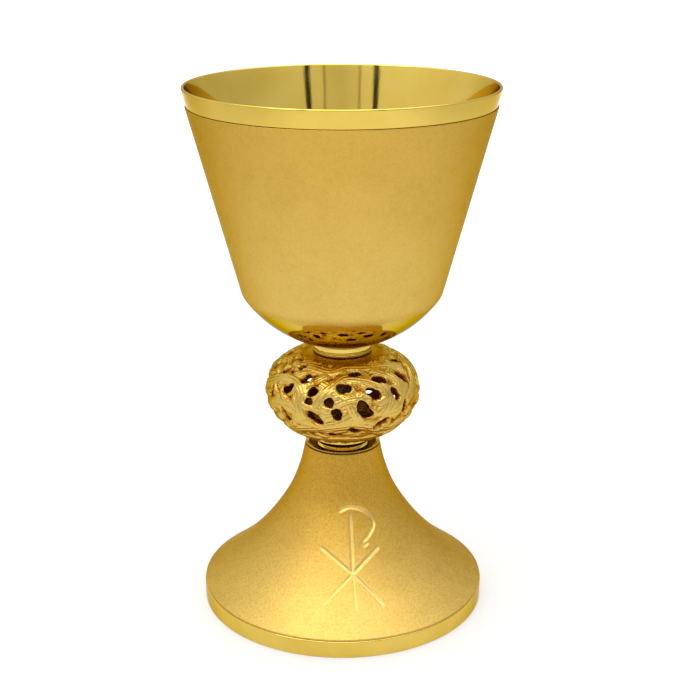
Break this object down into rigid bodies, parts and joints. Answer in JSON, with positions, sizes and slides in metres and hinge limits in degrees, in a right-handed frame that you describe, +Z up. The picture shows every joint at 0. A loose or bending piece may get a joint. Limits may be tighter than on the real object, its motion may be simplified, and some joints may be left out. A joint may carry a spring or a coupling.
{
  "type": "communion chalice",
  "caption": "Gold-plated chalice: conical satin cup with a polished lip, openwork round knot between two collars, and a flared satin foot with a polished edge ring.",
  "frame": {"origin": "centre of the surface that the foot stands on", "axes": "+Z up along the chalice's axis, -Y towards the engraved front, +X to the right seen from the front"},
  "size_m": [0.115, 0.115, 0.201],
  "materials": {
    "polished_gold": "polished gold plate",
    "satin_gold": "bead-blasted satin gold plate",
    "cast_gold": "hand-finished casting, gold plated",
    "plain_brass": "turned brass, unplated",
    "steel": "plain steel"
  },
  "bodies": {
    "foot": {"foot_shell": "satin_gold", "foot_edge_ring": "polished_gold", "foot_cap": "polished_gold", "lower_collar": "polished_gold", "clamp_plate": "plain_brass", "flat_washer": "steel", "spring_washer": "steel", "hex_nut": "plain_brass"},
    "knot": {"knot_casting": "cast_gold"},
    "cup": {"cup_bowl": "polished_gold", "cup_sleeve": "satin_gold", "cup_boss": "plain_brass", "cup_stud": "plain_brass", "upper_collar": "polished_gold"}
  },
  "joints": [
    {"name": "cup_turn", "type": "hinge", "parent": "foot", "child": "knot", "pos_m": [0, 0, 0.085], "axis": [0, 0, 1], "range_deg": [0, 2880]},
    {"name": "cup_rise", "type": "slide", "parent": "knot", "child": "cup", "axis": [0, 0, 1], "range_m": [0, 0.0064]}
  ],
  "couplings": [
    {"joint": "cup_rise", "follows": "cup_turn", "m_per_rad": 0.00012732}
  ]
}
